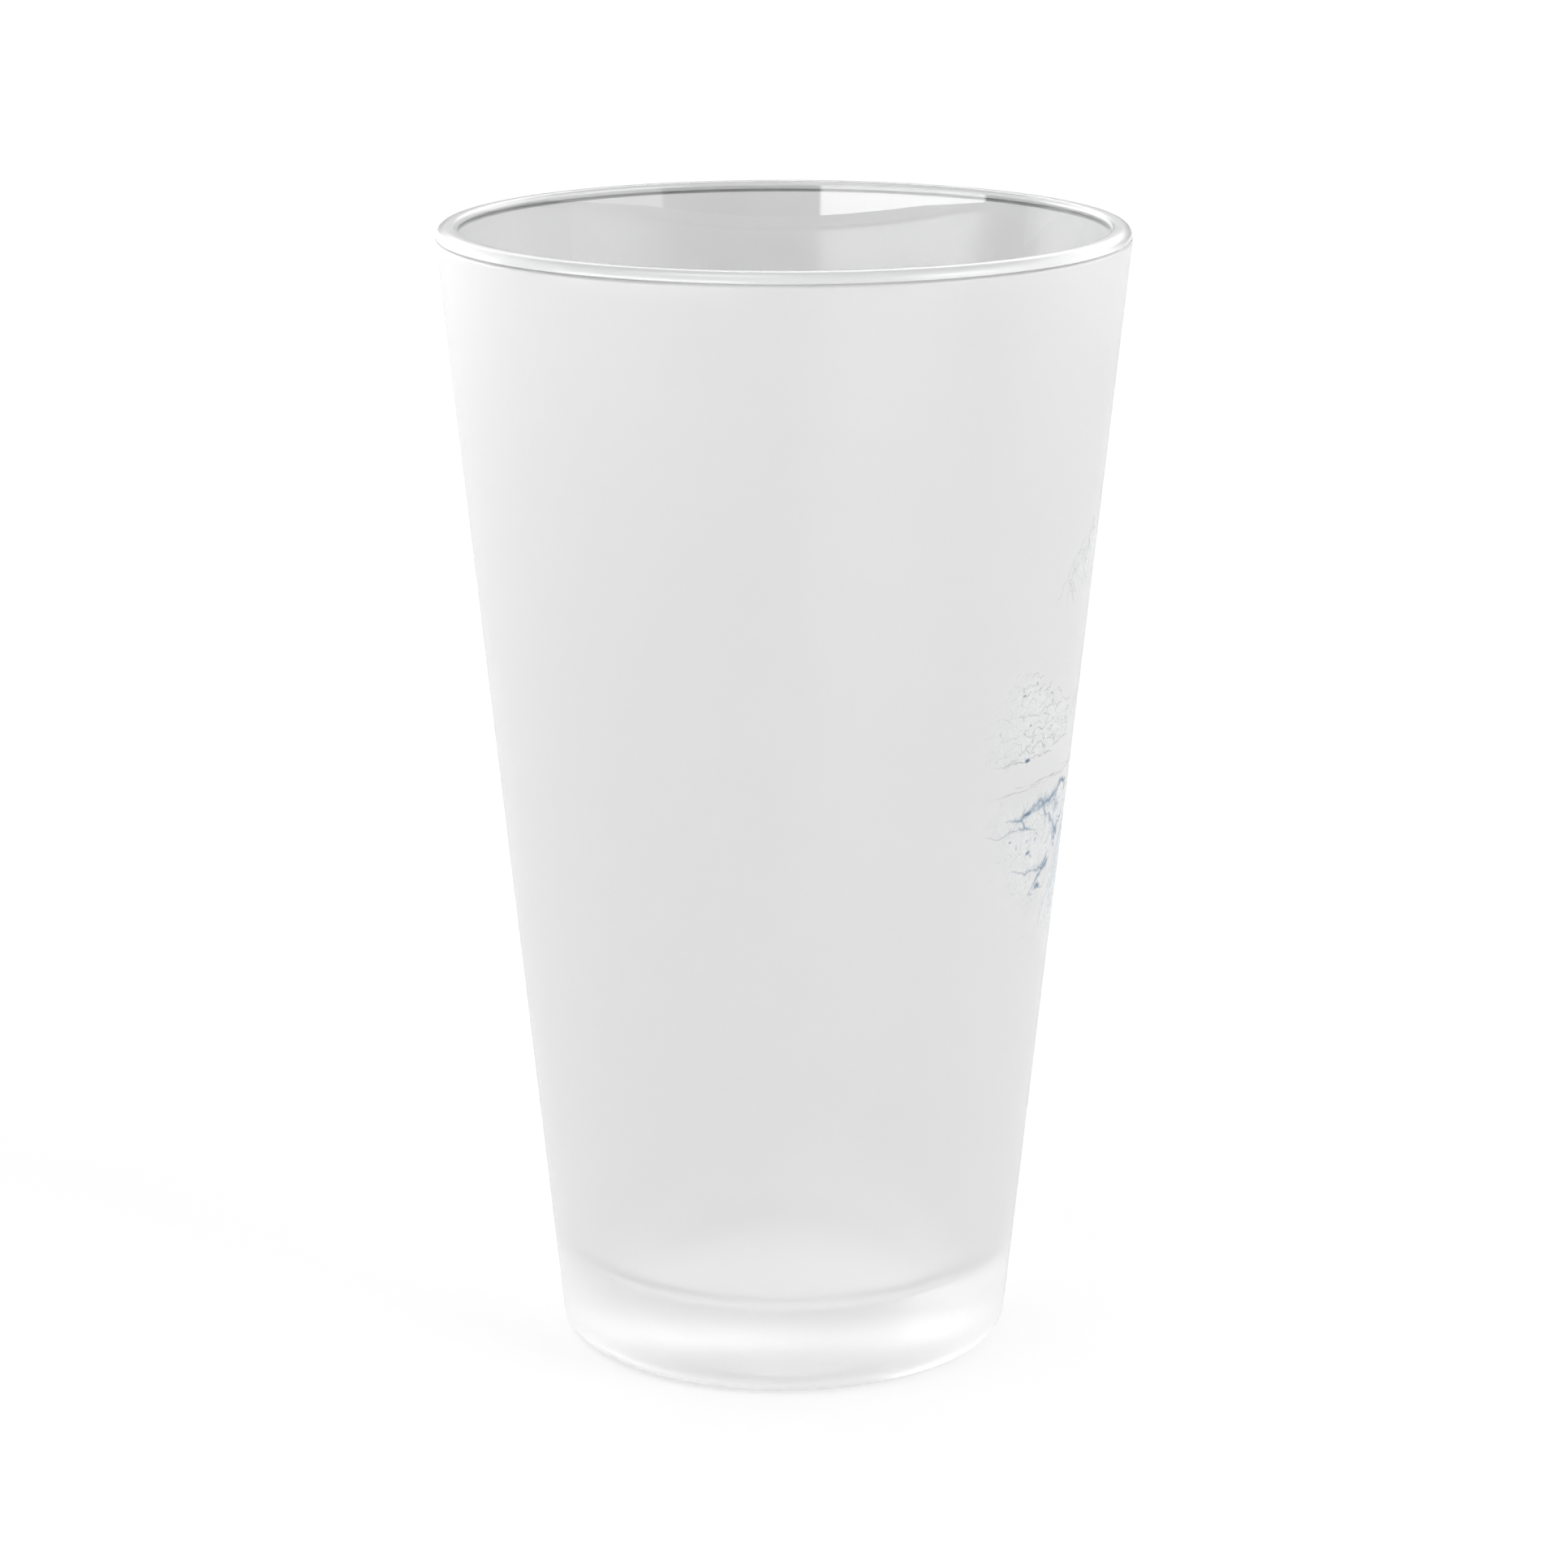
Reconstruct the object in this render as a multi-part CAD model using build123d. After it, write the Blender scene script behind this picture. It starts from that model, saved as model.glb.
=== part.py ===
from build123d import *

import os
from math import asin, atan2, cos, degrees, hypot, radians, sin, sqrt, tan

# A sixteen-ounce pint glass: the pressed glass tumbler, the satin coat on its outside, and the ink films of
# the round landscape that is printed on that coat. Millimetres, Z up, and the origin is the centre of the
# face that the glass stands on.

# Driving dimensions of the glass.
height = 148.0
rim_diameter = 88.9
base_diameter = 58.8  # where the side wall would meet the table if its heel weren't rounded
rim_wall = 2.7
floor_wall = 4.3
floor_height = 10.6
floor_rise = 0.6  # the floor is a little higher at its middle
floor_corner_radius = 4.0
heel_radius = 2.6
lip_radius = 1.28  # outer edge of the lip
inner_lip_radius = 0.55
bearing_ring_inner_diameter = 41.0
punt_depth = 1.6  # how far the underside is pushed up inside the bearing ring

# The satin coat.
coat_thickness = 0.10
coat_top = 146.6
coat_feather = 0.5  # the height over which the coat's upper edge thins out to nothing
coat_heel_angle = 60.0  # how far round the heel the coat goes, below horizontal

# The printed landscape, a round picture on the coat that faces +X.
ink_thickness = 0.03
picture_height = 85.0
picture_radius = 32.3
far_water_width = 0.5
far_water_drop = 6.0  # below the middle of the picture

rim_radius = rim_diameter / 2
base_radius = base_diameter / 2
wall_lean = atan2(rim_radius - base_radius, height)
wall_out = (cos(wall_lean), -sin(wall_lean))  # the side wall's outward normal, as (radius, height)


def wall_radius(z, offset=0.0):
    """Radius of the outer wall at a height, or of a surface that lies offset outside it."""
    return base_radius + z * tan(wall_lean) + offset / cos(wall_lean)


def on_wall(z, offset=0.0):
    """The point offset straight out from the side wall's point at height z."""
    return (wall_radius(z) + offset * wall_out[0], z + offset * wall_out[1])


# The heel's arc touches the side wall and the table.
heel_centre = (wall_radius(heel_radius) - heel_radius / cos(wall_lean), heel_radius)


def on_heel(angle, offset=0.0):
    """The point of the heel's arc that is angle degrees below horizontal, moved out by offset."""
    reach = heel_radius + offset
    return (heel_centre[0] + reach * cos(radians(angle)), heel_centre[1] - reach * sin(radians(angle)))


def turned(section, sweep=360.0):
    """A solid of revolution about Z from a section in (radius, height), centred on +X if it isn't whole."""
    return revolve(Plane.XZ * section, Axis.Z, sweep).rotate(Axis.Z, -sweep / 2)


def crown(edge, rise):
    """A shallow arc from an edge up to the axis of the glass, which its centre lies on."""
    reach = (edge[0] ** 2 + rise**2) / (2 * rise)
    half_turn = asin(edge[0] / reach) / 2
    top = edge[1] + rise
    return ThreePointArc(edge, (reach * sin(half_turn), top - reach * (1 - cos(half_turn))), (0, top))


def nearest(corners, point):
    return min(corners, key=lambda corner: hypot(corner.X - point[0], corner.Y - point[1]))


def glass_body():
    """The tumbler: tapered wall, thick floor, rounded lip and heel, and a shallow punt underneath."""
    lip_inside = (rim_radius - rim_wall, height)
    floor_edge = (wall_radius(floor_height) - floor_wall, floor_height)
    ring_inside = (bearing_ring_inner_diameter / 2, 0)
    sharp = [
        (base_radius, 0),
        (rim_radius, height),
        lip_inside,
        floor_edge,
    ]
    outline = Polyline(ring_inside, *sharp)
    outline += crown(floor_edge, floor_rise)
    outline += Line((0, floor_height + floor_rise), (0, punt_depth))
    outline += crown(ring_inside, punt_depth)
    section = make_face(outline)
    for point, radius in zip(sharp, (heel_radius, lip_radius, inner_lip_radius, floor_corner_radius)):
        section = fillet(nearest(section.vertices(), point), radius)
    return turned(section)


def frosted_coating():
    """The coat: an even skin on the side wall, thin at its upper edge and wrapped part way round the heel."""
    lean = degrees(wall_lean)
    full_top = coat_top - coat_feather
    middle = (coat_heel_angle + lean) / 2
    outline = Line(on_wall(coat_top), on_wall(full_top, coat_thickness))
    outline += Line(on_wall(full_top, coat_thickness), on_heel(lean, coat_thickness))
    outline += ThreePointArc(
        on_heel(lean, coat_thickness),
        on_heel(middle, coat_thickness),
        on_heel(coat_heel_angle, coat_thickness),
    )
    outline += Line(on_heel(coat_heel_angle, coat_thickness), on_heel(coat_heel_angle))
    outline += ThreePointArc(on_heel(coat_heel_angle), on_heel(middle), on_heel(lean))
    outline += Line(on_heel(lean), on_wall(coat_top))
    return turned(make_face(outline))


def ink_section(low, high):
    """The section of an ink film that lies on the coat between two heights."""
    outside = coat_thickness + ink_thickness
    corners = [on_wall(low, coat_thickness), on_wall(low, outside)]
    corners += [on_wall(high, outside), on_wall(high, coat_thickness)]
    return make_face(Polyline(*corners, close=True))


def seen_from_side(across, up):
    """A place in the picture, measured along the coat from its middle, as it looks straight from +X."""
    radius = wall_radius(picture_height + up, coat_thickness)
    return (radius * sin(across / radius), picture_height + up)


def ink_patch(outline):
    """The ink film inside a closed smooth outline that is measured along the coat."""
    overlap = 5.0
    shape = make_face(Spline(*[seen_from_side(*point) for point in outline], periodic=True))
    heights = [picture_height + up for _, up in outline]
    film = turned(ink_section(min(heights) - overlap, max(heights) + overlap), 180)
    return film & extrude(Plane.YZ * shape, rim_diameter)


def print_ridge():
    """The mountain ridge at the top of the picture."""
    skyline = [(-18.4, 21.8), (-12, 27.2), (-6, 32), (-1, 34.2)]
    skyline += [(4, 31.6), (9.5, 28), (15.5, 23.2), (20, 18.6)]
    spurs = [(13.5, 18.8), (8, 15), (2, 17.6), (-3.5, 14), (-9, 18), (-14, 19)]
    return ink_patch(skyline + spurs)


def print_left_bank():
    """The wooded bank that comes in from the left."""
    crowns = [(-31.4, -1.6), (-31.9, 3), (-29.8, 8.2), (-27, 9.8), (-22.5, 8), (-16.5, 4.6), (-10.2, 0)]
    return ink_patch(crowns + [(-19, -2.1), (-27.5, -2.5)])


def print_right_bank():
    """The wooded bank that comes in from the right."""
    crowns = [(31.3, -1.8), (31.7, 2.4), (29.2, 6.4), (24.5, 7.2), (18, 4.6), (9.4, -0.4)]
    return ink_patch(crowns + [(17.5, -2.2), (26, -2.6)])


def print_far_water():
    """The thin line of far water that runs across the picture."""
    middle = picture_height - far_water_drop
    half_chord = sqrt(picture_radius**2 - far_water_drop**2)
    sweep = degrees(2 * half_chord / wall_radius(middle, coat_thickness))
    return turned(ink_section(middle - far_water_width / 2, middle + far_water_width / 2), sweep)


def print_left_shore():
    """The rocks and roots along the near shore, left of the stream."""
    top = [(-6.8, -8.6), (-10.5, -7), (-18, -7.3), (-26, -7.6), (-30.8, -8.6)]
    rim = [(-29, -13.2), (-25.6, -19), (-21.5, -23.6), (-17.8, -25.6)]
    return ink_patch(top + rim + [(-13.2, -19.6), (-9.6, -14)])


def print_right_shore():
    """The rocks and roots along the near shore, right of the stream."""
    top = [(1.4, -9.4), (5, -7.3), (14, -7.4), (24, -7.3), (30.6, -8.8)]
    rim = [(29.4, -12.4), (26.2, -18.2), (20, -24.8), (13.5, -28.8), (8, -30.4)]
    return ink_patch(top + rim + [(6, -23), (3.2, -15.6)])


def print_stream():
    """The stream that fans out from the far water to the bottom of the picture."""
    left = [(-4.6, -7.6), (-8.2, -14.6), (-11.9, -20.4), (-16.4, -27)]
    foot = [(-10.4, -30), (-2.5, -31.8), (4.8, -31)]
    return ink_patch(left + foot + [(3.4, -23.6), (0.7, -16), (-1.6, -9)])


parts = {
    "glass_body": glass_body,
    "frosted_coating": frosted_coating,
    "print_ridge": print_ridge,
    "print_left_bank": print_left_bank,
    "print_right_bank": print_right_bank,
    "print_far_water": print_far_water,
    "print_left_shore": print_left_shore,
    "print_right_shore": print_right_shore,
    "print_stream": print_stream,
}

os.makedirs("parts", exist_ok=True)
for name, make in parts.items():
    solid = make()
    export_step(solid, f"parts/{name}.step")
    print(f"{name}: {solid.volume:.1f} mm3")
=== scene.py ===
import random
from math import atan2, cos, pi, radians, sin, sqrt, tan

import bmesh
import bpy
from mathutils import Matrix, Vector, noise


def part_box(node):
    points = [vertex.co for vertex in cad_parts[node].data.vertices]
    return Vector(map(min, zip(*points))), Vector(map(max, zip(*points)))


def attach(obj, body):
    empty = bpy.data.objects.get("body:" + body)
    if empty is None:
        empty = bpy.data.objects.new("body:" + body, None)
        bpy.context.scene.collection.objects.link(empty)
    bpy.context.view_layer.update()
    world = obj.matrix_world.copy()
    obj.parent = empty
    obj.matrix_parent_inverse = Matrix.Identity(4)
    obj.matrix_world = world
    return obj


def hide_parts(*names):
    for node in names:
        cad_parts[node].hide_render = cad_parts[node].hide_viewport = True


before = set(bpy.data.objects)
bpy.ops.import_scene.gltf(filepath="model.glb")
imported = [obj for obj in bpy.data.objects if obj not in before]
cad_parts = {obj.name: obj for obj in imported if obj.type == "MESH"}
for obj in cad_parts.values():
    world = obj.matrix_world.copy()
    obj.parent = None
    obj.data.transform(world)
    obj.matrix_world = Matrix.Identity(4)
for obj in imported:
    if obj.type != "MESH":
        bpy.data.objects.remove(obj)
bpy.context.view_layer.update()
print("frame loaded:", ", ".join(sorted(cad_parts)))

mm = 0.001

# the tumbler's own sizes, in metres; its height comes from the frame
bodyShape = {
    "height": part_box("glass_body")[1][2],
    "rimRadius": 44.45 * mm,
    "baseRadius": 29.4 * mm,
    "rimWall": 2.7 * mm,
    "floorWall": 4.3 * mm,
    "floorHeight": 10.6 * mm,
    "floorRise": 0.6 * mm,
    "floorCorner": 4.0 * mm,
    "heelRadius": 2.6 * mm,
    "lipRadius": 1.28 * mm,
    "innerLipRadius": 0.55 * mm,
    "lipBead": 0.31 * mm,        # the wall thickens slightly towards the lip, on the inside
    "lipBeadReach": 40 * mm,
    "ringRadius": 20.5 * mm,
    "puntDepth": 1.6 * mm,
    "segments": 288,             # steps round the axis, then rows along each run of the profile
    "wallRows": 60,
    "heelRows": 18,
    "domeRows": 14,
    "cornerRows": 12,
    "lipRows": 10,
    "ringRows": 4,
    "floorGap": 0.3 * mm,        # the inner floor's dome stops this far short of its rounded corner
    "waviness": 0.004 * mm,      # pressed glass is never quite true
    "wavePitch": 14 * mm,
}

coatShape = {
    "thickness": 0.1 * mm,
    "top": 146.6 * mm,
    "feather": 0.5 * mm,
    "heelAngle": radians(60),    # how far round the heel the coat goes
    "seatGap": 0.02 * mm,        # glass this little below the coat's end still counts as coated
    "rows": 60,
    "heelRows": 12,
}

lean = atan2(bodyShape["rimRadius"] - bodyShape["baseRadius"], bodyShape["height"])


def wallRadius(z):
    return bodyShape["baseRadius"] + z * tan(lean)


def onWall(z, out=0.0):
    # a point (radius, height) that lies out from the side wall, square to it
    return (wallRadius(z) + out * cos(lean), z - out * sin(lean))


def onHeel(angle, out=0.0):
    r = bodyShape["heelRadius"]
    centre = wallRadius(r) - r / cos(lean)
    return (centre + (r + out) * cos(angle), r - (r + out) * sin(angle))


def roundedCorner(before, corner, after, radius, steps):
    # points of an arc that rounds the corner between two straight runs
    a = (Vector(before) - Vector(corner)).normalized()
    b = (Vector(after) - Vector(corner)).normalized()
    half = a.angle(b) / 2
    centre = Vector(corner) + (a + b).normalized() * (radius / sin(half))
    start = Vector(corner) + a * (radius / tan(half)) - centre
    turn = (pi - 2 * half) * (1 if a.x * b.y - a.y * b.x < 0 else -1)
    points = []
    for i in range(steps + 1):
        t = turn * i / steps
        arm = Vector((start.x * cos(t) - start.y * sin(t), start.x * sin(t) + start.y * cos(t)))
        points.append(tuple(centre + arm))
    return points


def crown(edgeRadius, edgeHeight, rise, steps):
    # a shallow dome from the axis out to its edge, as (radius, height)
    reach = (edgeRadius**2 + rise**2) / (2 * rise)
    points = []
    for i in range(1, steps + 1):
        r = edgeRadius * i / steps
        points.append((r, edgeHeight + rise - reach + sqrt(reach**2 - r**2)))
    return points


def beadRelief(depth):
    # how much further out the inner wall stands, this far below the lip
    t = min(1.0, max(0.0, depth / bodyShape["lipBeadReach"]))
    return bodyShape["lipBead"] * sin(pi * t) * (1 - t)


def straight(start, end, steps):
    # the points between two ends, without the ends
    return [tuple(Vector(start).lerp(Vector(end), i / steps)) for i in range(1, steps)]


def lathe(name, profile, closedLoop=False, wobble=0.0):
    # turns a profile of (radius, height, slot) about the axis; a radius of 0 becomes one point on the axis
    mesh = bpy.data.meshes.new(name)
    bm = bmesh.new()
    count = bodyShape["segments"]
    rings = []
    for r, z, _ in profile:
        if r == 0:
            rings.append([bm.verts.new((0, 0, z))] * count)
            continue
        ring = []
        for i in range(count):
            turn = 2 * pi * i / count
            place = Vector((r * cos(turn), r * sin(turn), z))
            push = wobble * noise.noise(place / bodyShape["wavePitch"])
            ring.append(bm.verts.new(((r + push) * cos(turn), (r + push) * sin(turn), z)))
        rings.append(ring)
    spans = list(zip(rings, rings[1:], profile))
    if closedLoop:
        spans.append((rings[-1], rings[0], profile[-1]))
    for low, high, (_, _, slot) in spans:
        for i in range(count):
            j = (i + 1) % count
            corners = [low[i], low[j], high[j], high[i]]
            face = bm.faces.new([v for n, v in enumerate(corners) if v not in corners[:n]])
            face.smooth = True
            face.material_index = slot
    bmesh.ops.recalc_face_normals(bm, faces=bm.faces)
    bm.to_mesh(mesh)
    bm.free()
    obj = bpy.data.objects.new(name, mesh)
    bpy.context.collection.objects.link(obj)
    return obj


def newMaterial(name):
    mat = bpy.data.materials.new(name)
    mat.use_nodes = True
    return mat, mat.node_tree.nodes["Principled BSDF"]


def addSockets(group, inputs, outputs):
    for name, value in inputs:
        socket = group.interface.new_socket(name=name, in_out="INPUT", socket_type="NodeSocketFloat")
        socket.default_value = value
    for name in outputs:
        group.interface.new_socket(name=name, in_out="OUTPUT", socket_type="NodeSocketFloat")


def mathNode(nodes, links, operation, *values):
    node = nodes.new("ShaderNodeMath")
    node.operation = operation
    for socket, value in zip(node.inputs, values):
        if isinstance(value, (int, float)):
            socket.default_value = value
        else:
            links.new(value, socket)
    return node.outputs[0]


def noiseNode(nodes, links, place, scale, detail=2.0):
    # scale may be a number or a socket
    node = nodes.new("ShaderNodeTexNoise")
    node.inputs["Detail"].default_value = detail
    links.new(place, node.inputs["Vector"])
    if isinstance(scale, (int, float)):
        node.inputs["Scale"].default_value = scale
    else:
        links.new(scale, node.inputs["Scale"])
    return node.outputs[0]


def makeSatinGrain():
    # the fine tooth of a sprayed or printed surface, as a roughness and a height from 0 to 1
    group = bpy.data.node_groups.new("satinGrain", "ShaderNodeTree")
    addSockets(group, (("Scale", 3000.0), ("Roughness", 0.4), ("Spread", 0.05)), ("Roughness", "Height"))
    nodes, links = group.nodes, group.links
    given, result = nodes.new("NodeGroupInput"), nodes.new("NodeGroupOutput")
    place = nodes.new("ShaderNodeTexCoord").outputs["Object"]
    fine = noiseNode(nodes, links, place, given.outputs["Scale"], 3.0)
    broad = noiseNode(nodes, links, place, mathNode(nodes, links, "MULTIPLY", given.outputs["Scale"], 0.04))
    both = mathNode(nodes, links, "ADD", fine, broad)
    centred = mathNode(nodes, links, "SUBTRACT", both, 1.0)
    swing = mathNode(nodes, links, "MULTIPLY", centred, given.outputs["Spread"])
    links.new(mathNode(nodes, links, "ADD", given.outputs["Roughness"], swing), result.inputs["Roughness"])
    links.new(fine, result.inputs["Height"])
    return group


def makeInkBreakup():
    # how evenly a screened ink has taken: its cover, and a slow drift of its tone
    group = bpy.data.node_groups.new("inkBreakup", "ShaderNodeTree")
    addSockets(group, (("Cover", 0.6), ("Mottle", 0.3), ("Grain", 2200.0), ("Fade", 1.0)), ("Alpha", "Tone"))
    nodes, links = group.nodes, group.links
    given, result = nodes.new("NodeGroupInput"), nodes.new("NodeGroupOutput")
    place = nodes.new("ShaderNodeTexCoord").outputs["Object"]
    fine = noiseNode(nodes, links, place, given.outputs["Grain"], 3.0)
    patchy = noiseNode(nodes, links, place, mathNode(nodes, links, "MULTIPLY", given.outputs["Grain"], 0.16))
    swing = mathNode(nodes, links, "SUBTRACT", mathNode(nodes, links, "ADD", fine, patchy), 1.0)
    cover = mathNode(nodes, links, "MULTIPLY_ADD", swing, given.outputs["Mottle"], given.outputs["Cover"])
    faded = mathNode(nodes, links, "MULTIPLY", cover, given.outputs["Fade"])
    clipped = nodes.new("ShaderNodeClamp")
    links.new(faded, clipped.inputs["Value"])
    links.new(clipped.outputs[0], result.inputs["Alpha"])
    links.new(patchy, result.inputs["Tone"])
    return group


def placeGroup(nodes, group, **values):
    node = nodes.new("ShaderNodeGroup")
    node.node_tree = group
    for name, value in values.items():
        node.inputs[name].default_value = value
    return node


bodyFinish = {
    "colour": (0.985, 0.992, 0.988, 1),
    "refraction": 1.52,
    "grain": 2000.0,
    "roughnessSpread": 0.05,
    # the lip's milkiness is the glass's own, but its grey tone is painted shade along the rim
    "lipColour": (0.7, 0.705, 0.705, 1),
    "lipRoughness": 0.25,
    "lipClearness": 0.3,
    "lipMilkDrop": 0.1 * mm,     # how far the lip's milkiness runs down the inside
    "footColour": (0.97, 0.975, 0.975, 1),
    "footRoughness": 0.3,
    "footClearness": 0.9,
}


def makeClearGlass():
    mat, shader = newMaterial("clearPressedGlass")
    shader.inputs["Base Color"].default_value = bodyFinish["colour"]
    shader.inputs["Roughness"].default_value = 0.0
    shader.inputs["IOR"].default_value = bodyFinish["refraction"]
    shader.inputs["Transmission Weight"].default_value = 1.0
    return mat


def makeMilkyGlass(name, part):
    # bare glass with a little of the coat's milkiness: the flame polished lip, greyed with painted shade, and the
    # scuffed foot
    mat, shader = newMaterial(name)
    shader.inputs["Base Color"].default_value = bodyFinish[part + "Colour"]
    shader.inputs["IOR"].default_value = bodyFinish["refraction"]
    shader.inputs["Transmission Weight"].default_value = bodyFinish[part + "Clearness"]
    grain = placeGroup(mat.node_tree.nodes, satinGrain, Scale=bodyFinish["grain"],
                       Roughness=bodyFinish[part + "Roughness"], Spread=bodyFinish["roughnessSpread"])
    mat.node_tree.links.new(grain.outputs["Roughness"], shader.inputs["Roughness"])
    return mat


def makeBonded():
    # where coat and glass are stuck together there is no air between them, so nothing shows
    mat, shader = newMaterial("coatBond")
    shader.inputs["Alpha"].default_value = 0.0
    return mat


coatFinish = {
    "colour": (0.755, 0.755, 0.755, 1),
    "paintedHeelLight": (0.85, 0.85, 0.85, 1),     # painted light: the coat is whiter round the heel, to lift the shade that falls there
    "heelLightFade": (3 * mm, 16 * mm),           # heights between which that painted light fades out
    "transmission": 0.5,
    "roughness": 0.35,
    "roughnessSpread": 0.04,
    "grain": 3200.0,
    "grainDepth": 0.004 * mm,
    "refraction": 1.5,
}


def makeFrost():
    mat, shader = newMaterial("satinFrost")
    nodes, links = mat.node_tree.nodes, mat.node_tree.links
    height = nodes.new("ShaderNodeSeparateXYZ")
    links.new(nodes.new("ShaderNodeTexCoord").outputs["Object"], height.inputs[0])
    # painted light: the coat's colour is lighter towards the heel and fades to its own colour higher up
    heelLightMask = nodes.new("ShaderNodeMapRange")
    heelLightMask.interpolation_type = "SMOOTHSTEP"
    heelLightMask.inputs["From Min"].default_value = coatFinish["heelLightFade"][0]
    heelLightMask.inputs["From Max"].default_value = coatFinish["heelLightFade"][1]
    links.new(height.outputs["Z"], heelLightMask.inputs["Value"])
    tone = nodes.new("ShaderNodeMix")
    tone.data_type = "RGBA"
    tone.inputs["A"].default_value = coatFinish["paintedHeelLight"]
    tone.inputs["B"].default_value = coatFinish["colour"]
    links.new(heelLightMask.outputs["Result"], tone.inputs["Factor"])
    links.new(tone.outputs["Result"], shader.inputs["Base Color"])
    shader.inputs["IOR"].default_value = coatFinish["refraction"]
    shader.inputs["Transmission Weight"].default_value = coatFinish["transmission"]
    grain = placeGroup(nodes, satinGrain, Scale=coatFinish["grain"], Roughness=coatFinish["roughness"],
                       Spread=coatFinish["roughnessSpread"])
    links.new(grain.outputs["Roughness"], shader.inputs["Roughness"])
    bump = nodes.new("ShaderNodeBump")
    bump.inputs["Distance"].default_value = coatFinish["grainDepth"]
    links.new(grain.outputs["Height"], bump.inputs["Height"])
    links.new(bump.outputs["Normal"], shader.inputs["Normal"])
    return mat


# the ink's colour where it is thin and where it is full, then its cover, mottle and roughness;
# every film and line has two faces, so the cover counts twice
inks = {
    "lineInk": ((0.22, 0.25, 0.29), (0.08, 0.11, 0.14), 0.24, 0.5, 0.6),
    "deepInk": ((0.15, 0.28, 0.42), (0.04, 0.12, 0.22), 0.44, 0.6, 0.55),
    "washInk": ((0.93, 0.95, 0.95), (0.84, 0.88, 0.90), 0.07, 0.2, 0.7),
    "blueInk": ((0.30, 0.44, 0.58), (0.11, 0.23, 0.37), 0.2, 0.4, 0.6),
    "paleInk": ((0.97, 0.98, 0.99), (0.86, 0.92, 0.96), 0.62, 0.4, 0.65),
}


def makeInk(name, thin, full, cover, mottle, roughness):
    mat, shader = newMaterial(name)
    nodes, links = mat.node_tree.nodes, mat.node_tree.links
    fade = nodes.new("ShaderNodeAttribute")
    fade.attribute_name = "inkFade"
    taken = placeGroup(nodes, inkBreakup, Cover=cover, Mottle=mottle)
    links.new(fade.outputs["Fac"], taken.inputs["Fade"])
    tone = nodes.new("ShaderNodeMix")
    tone.data_type = "RGBA"
    tone.inputs["A"].default_value = (*thin, 1)
    tone.inputs["B"].default_value = (*full, 1)
    links.new(taken.outputs["Tone"], tone.inputs["Factor"])
    links.new(tone.outputs["Result"], shader.inputs["Base Color"])
    links.new(taken.outputs["Alpha"], shader.inputs["Alpha"])
    grain = placeGroup(nodes, satinGrain, Roughness=roughness)
    links.new(grain.outputs["Roughness"], shader.inputs["Roughness"])
    return mat


def makeBody():
    s = bodyShape
    clear, bonded, polished, scuffed = 0, 1, 2, 3
    lipIn = (s["rimRadius"] - s["rimWall"], s["height"])
    lipOut = (s["rimRadius"], s["height"])
    heelCorner = (s["baseRadius"], 0)
    floorEdge = (wallRadius(s["floorHeight"]) - s["floorWall"], s["floorHeight"])
    profile = [(0, s["puntDepth"], clear)]
    profile += [(r, z, clear) for r, z in crown(s["ringRadius"], 0, s["puntDepth"], s["domeRows"])]
    heel = roundedCorner((0, 0), heelCorner, lipOut, s["heelRadius"], s["heelRows"])
    profile += [(r, z, scuffed) for r, z in straight((s["ringRadius"], 0), heel[0], s["ringRows"])]
    coatEnd = onHeel(coatShape["heelAngle"])[1] - coatShape["seatGap"]
    profile += [(r, z, scuffed if z < coatEnd else bonded) for r, z in heel]
    coatTop = onWall(coatShape["top"])
    profile += [(r, z, bonded) for r, z in straight(heel[-1], coatTop, s["wallRows"])]
    profile.append((*coatTop, polished))
    lip = roundedCorner(heelCorner, lipOut, lipIn, s["lipRadius"], s["lipRows"])
    lip += roundedCorner(lipOut, lipIn, floorEdge, s["innerLipRadius"], s["lipRows"])
    profile += [(r, z, polished) for r, z in lip]
    corner = roundedCorner(lipIn, floorEdge, (0, s["floorHeight"]), s["floorCorner"], s["cornerRows"])
    top = lip[-1][1]
    below = (Vector(corner[0]) - Vector(lip[-1])).normalized() * bodyFinish["lipMilkDrop"]
    profile.append((lip[-1][0] + below.x, top + below.y, clear))
    profile += [(r + beadRelief(top - z), z, clear) for r, z in straight(lip[-1], corner[0], s["wallRows"])]
    profile += [(r, z, clear) for r, z in corner]
    floor = crown(floorEdge[0], s["floorHeight"], s["floorRise"], s["domeRows"])
    profile += [(r, z, clear) for r, z in reversed(floor) if r < corner[-1][0] - s["floorGap"]]
    profile.append((0, s["floorHeight"] + s["floorRise"], clear))
    body = lathe("tumbler", profile, wobble=s["waviness"])
    for material in (clearGlass, coatBond, rimGlass, footGlass):
        body.data.materials.append(material)
    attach(body, "root")
    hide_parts("glass_body")
    print("tumbler:", len(body.data.polygons), "faces")


def makeCoat():
    c = coatShape
    frost, bonded = 0, 1
    turns = [lean + (c["heelAngle"] - lean) * (i / c["heelRows"]) for i in range(c["heelRows"] + 1)]
    outer = [onHeel(turn, c["thickness"]) for turn in reversed(turns)]
    fullTop = onWall(c["top"] - c["feather"], c["thickness"])
    outer += straight(outer[-1], fullTop, c["rows"]) + [fullTop]
    inner = [onWall(c["top"])]
    inner += straight(inner[0], onHeel(lean), c["rows"])
    inner += [onHeel(turn) for turn in turns]
    profile = [(r, z, frost) for r, z in outer]
    profile += [(r, z, bonded) for r, z in inner[:-1]]
    profile.append((*inner[-1], frost))
    coat = lathe("satinCoat", profile, closedLoop=True)
    coat.data.materials.append(satinFrost)
    coat.data.materials.append(coatBond)
    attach(coat, "root")
    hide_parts("frosted_coating")
    print("satin coat:", len(coat.data.polygons), "faces")


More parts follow.
